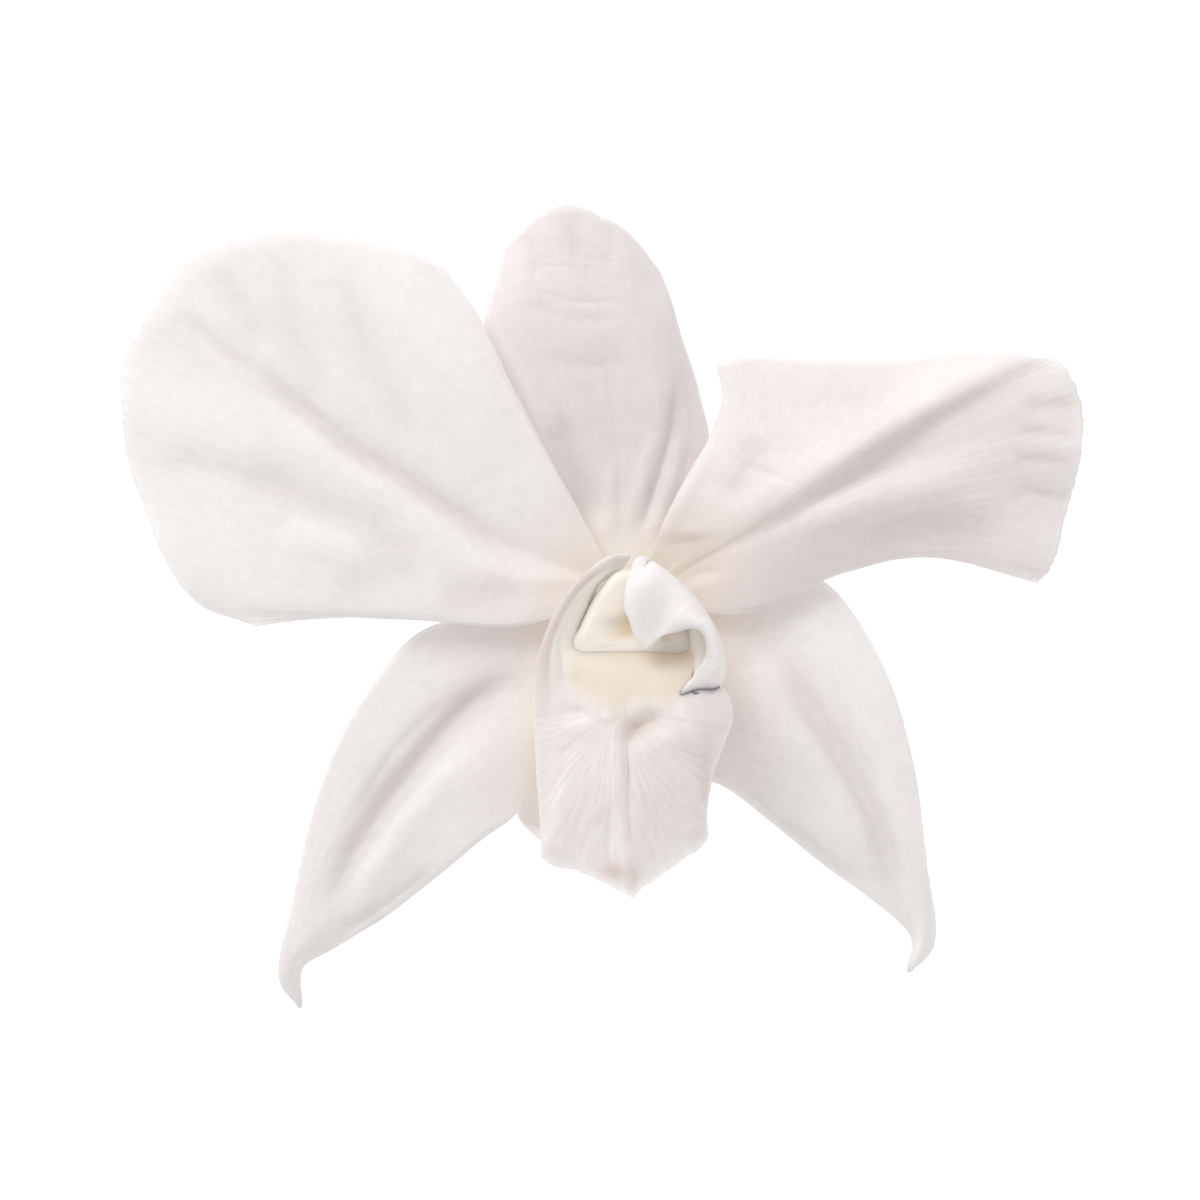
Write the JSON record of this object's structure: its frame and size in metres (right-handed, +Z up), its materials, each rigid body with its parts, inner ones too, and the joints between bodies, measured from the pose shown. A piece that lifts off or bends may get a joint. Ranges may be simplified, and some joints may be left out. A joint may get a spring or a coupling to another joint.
{
  "type": "dendrobium orchid bloom",
  "caption": "White dendrobium orchid flower, cut and lying face up: broad petals, channelled sepals with hooked tips, a tubular lip round the column and a bent stalk.",
  "frame": {"origin": "on the surface that the bloom lies on, under the middle of its outline", "axes": "+Z up, out of the flower's face; +Y towards the upper sepal; +X towards the right petal as seen from above"},
  "size_m": [0.077, 0.0649, 0.0208],
  "materials": {
    "petal": "matt, finely veined",
    "sepal": "matt, finely veined",
    "lip": "matt, cream in the throat",
    "column": "waxy",
    "pollen": "waxy",
    "stalk": "smooth"
  },
  "bodies": {
    "root": {"petal_left": "petal", "petal_right": "petal", "dorsal_sepal": "sepal", "lateral_sepal_left": "sepal", "lateral_sepal_right": "sepal", "lip": "lip", "chin": "stalk", "column": "column", "anther_cap": "column", "pollinia": "pollen", "ovary_pedicel": "stalk"}
  },
  "joints": []
}
